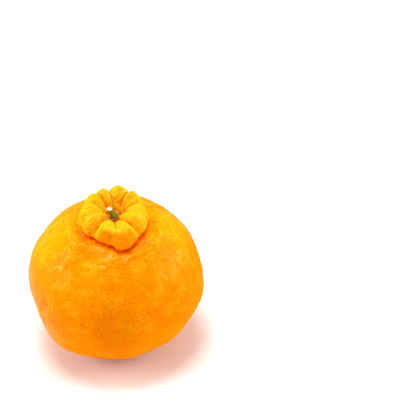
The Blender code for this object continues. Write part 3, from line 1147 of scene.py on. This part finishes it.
class DEKOPON_OT_calyx(bpy.types.Operator):
    """Builds the lobed calyx in the hollow"""

    bl_idname = "dekopon.calyx"
    bl_label = "Build calyx"

    def execute(self, context):
        look = context.scene.dekopon.calyx
        turn = np.linspace(0.0, 2.0 * math.pi, CALYX_STEPS, endpoint=False)
        base = hollow_floor() + CLEARANCE
        rows = [[(*NECK_OFFSET, base)]]
        across = [0.0]
        for lift, order in ((0.0, CALYX_RINGS), (CALYX_THICKNESS, CALYX_RINGS[::-1])):
            for share in order:
                notch = 1.0 - np.cos(look.lobes * turn)
                frays = (rise * np.sin(count * turn + start) for rise, count, start in CALYX_FRAYS)
                ragged = sum(frays) + CALYX_UNEVEN * (1.0 - np.cos(turn - CALYX_LONGEST))
                edge = 1.0 if lift == 0.0 else CALYX_UPPER
                radii = look.radius * share * edge * (1.0 - share * (CALYX_NOTCH * notch + ragged))
                heights = base + lift * (1.0 - CALYX_THINNING * share**3)
                heights = heights + CALYX_TURN_UP * (radii / look.radius) ** 4
                rows.append(ring_points(NECK_OFFSET, radii, heights))
                across += [share] * len(turn)
        rows.append([(*NECK_OFFSET, base + CALYX_THICKNESS)])
        across.append(0.0)
        mesh = mesh_from(lathe(rows), "calyx")
        mesh.materials.append(calyx_finish(look))
        keep_value(mesh, "across", across)
        obj = new_object("calyx_lobes", mesh)
        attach(obj, "root")
        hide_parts("calyx")
        return {"FINISHED"}


class DEKOPON_OT_stem(bpy.types.Operator):
    """Builds the ribbed stem with its cut end"""

    bl_idname = "dekopon.stem"
    bl_label = "Build stem"

    def execute(self, context):
        look = context.scene.dekopon.stem
        turn = np.linspace(0.0, 2.0 * math.pi, STEM_STEPS, endpoint=False)
        foot = hollow_floor() + 2.0 * CLEARANCE + CALYX_THICKNESS + CALYX_CURL
        rows, cut, along, across = [], [], [], []

        def add_ring(share, scale, sink, is_cut):
            bark = noise_round(turn, BARK_ROUND, np.full(len(turn), BARK_ALONG * share))
            ribs = look.rib_height * (np.cos(look.ribs * turn) + BARK_SHARE * bark)
            narrow = (1.0 - share) ** 2
            radius = look.tip_radius + (look.base_radius - look.tip_radius) * narrow
            centre = (
                NECK_OFFSET[0] + STEM_FOOT_OFFSET + STEM_LEAN[0] * share**STEM_BEND,
                NECK_OFFSET[1] + STEM_LEAN[1] * share**STEM_BEND,
            )
            height = foot + look.length * share - sink
            if scale == 0.0:
                rows.append([(*centre, height)])
            else:
                radii = (radius + ribs) * scale
                rows.append(ring_points(centre, radii, np.full(len(turn), height)))
            points = len(rows[-1])
            cut.extend([is_cut] * points)
            along.extend([share] * points)
            across.extend([scale] * points)

        add_ring(0.0, 0.0, 0.0, 0.0)
        for scale in STEM_FOOT_RINGS:
            add_ring(0.0, scale, 0.0, 0.0)
        for share in np.linspace(0.0, STEM_BARK_END, STEM_BARK_RINGS):
            add_ring(share, 1.0, 0.0, 0.0)
        add_ring(*STEM_RIM)
        for scale, sink in zip(STEM_CUT_SIZES, STEM_CUT_SINKS):
            add_ring(1.0, scale, sink, 1.0)
        mesh = mesh_from(lathe(rows), "stem")
        mesh.materials.append(stem_finish(look))
        for name, values in (("cut", cut), ("along", along), ("across", across)):
            keep_value(mesh, name, values)
        obj = new_object("stem_stalk", mesh)
        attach(obj, "root")
        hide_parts("stem")
        return {"FINISHED"}


class DEKOPON_OT_stage(bpy.types.Operator):
    """Sets out the floor, the soft light and the camera"""

    bl_idname = "dekopon.stage"
    bl_label = "Set out stage"

    def execute(self, context):
        look = context.scene.dekopon.stage
        shape = bmesh.new()
        bmesh.ops.create_grid(shape, x_segments=1, y_segments=1, size=FLOOR_REACH)
        mesh = mesh_from(shape, "floor")
        finish, _, _ = new_material(
            "floor", {"Base Color": (*look.floor_colour, 1.0), "Roughness": 0.7}
        )
        mesh.materials.append(finish)
        new_object("floor", mesh)
        for name, place, size in LIGHTS:
            add_light(name, place, size, getattr(look, name + "_power"))
        add_sky(context.scene, look.sky_strength)
        add_camera(context.scene)
        context.scene.view_settings.view_transform = "Standard"
        return {"FINISHED"}


def fruit_middle():
    return Vector((-FOOT_SHIFT[0], -FOOT_SHIFT[1], EQUATOR_HEIGHT))


def add_light(name, place, size, power):
    light = bpy.data.lights.new(name, "AREA")
    light.size = size
    light.energy = power
    obj = new_object(name, light)
    obj.location = place
    obj.rotation_euler = (fruit_middle() - obj.location).to_track_quat("-Z", "Y").to_euler()


def add_sky(scene, strength):
    world = bpy.data.worlds.new("surroundings")
    world.use_nodes = True
    background = world.node_tree.nodes["Background"]
    background.inputs["Color"].default_value = SKY_COLOUR
    background.inputs["Strength"].default_value = strength
    scene.world = world


def add_camera(scene):
    """Places the camera so that the fruit's middle falls on AIM at the photograph's pitch."""
    right, down = AIM[0] - PHOTO_SIDE / 2.0, AIM[1] - PHOTO_SIDE / 2.0
    ahead = FOCAL * math.cos(CAMERA_PITCH) - down * math.sin(CAMERA_PITCH)
    drop = FOCAL * math.sin(CAMERA_PITCH) + down * math.cos(CAMERA_PITCH)
    ray = Vector((0.0, math.hypot(ahead, right), -drop)).normalized()
    data = bpy.data.cameras.new("camera")
    data.sensor_width = 36.0
    data.lens = FOCAL * data.sensor_width / PHOTO_SIDE
    data.clip_start = 0.01
    camera = new_object("camera", data)
    camera.location = fruit_middle() - ray * CAMERA_DISTANCE
    camera.rotation_euler = (math.pi / 2.0 - CAMERA_PITCH, 0.0, math.atan2(right, ahead))
    scene.camera = camera


class DEKOPON_PT_panel(bpy.types.Panel):
    """Lists what can be built"""

    bl_idname = "DEKOPON_PT_panel"
    bl_label = "Dekopon"
    bl_space_type = "VIEW_3D"
    bl_region_type = "UI"
    bl_category = "Dekopon"

    def draw(self, context):
        for part, operator in zip(PARTS, OPERATORS):
            box = self.layout.box()
            look = getattr(context.scene.dekopon, part)
            for name in look.__annotations__:
                box.prop(look, name)
            box.operator(operator.bl_idname)


OPERATORS = (DEKOPON_OT_rind, DEKOPON_OT_calyx, DEKOPON_OT_stem, DEKOPON_OT_stage)
PARTS = ("rind", "calyx", "stem", "stage")
CLASSES = (RindLook, CalyxLook, StemLook, StageLook, DekoponLook, *OPERATORS, DEKOPON_PT_panel)


def register():
    for made in CLASSES:
        bpy.utils.register_class(made)
    bpy.types.Scene.dekopon = PointerProperty(type=DekoponLook)


def unregister():
    del bpy.types.Scene.dekopon
    for made in reversed(CLASSES):
        bpy.utils.unregister_class(made)


def main():
    register()
    bpy.ops.dekopon.rind()
    bpy.ops.dekopon.calyx()
    bpy.ops.dekopon.stem()
    bpy.ops.dekopon.stage()


if __name__ == "__main__":
    main()
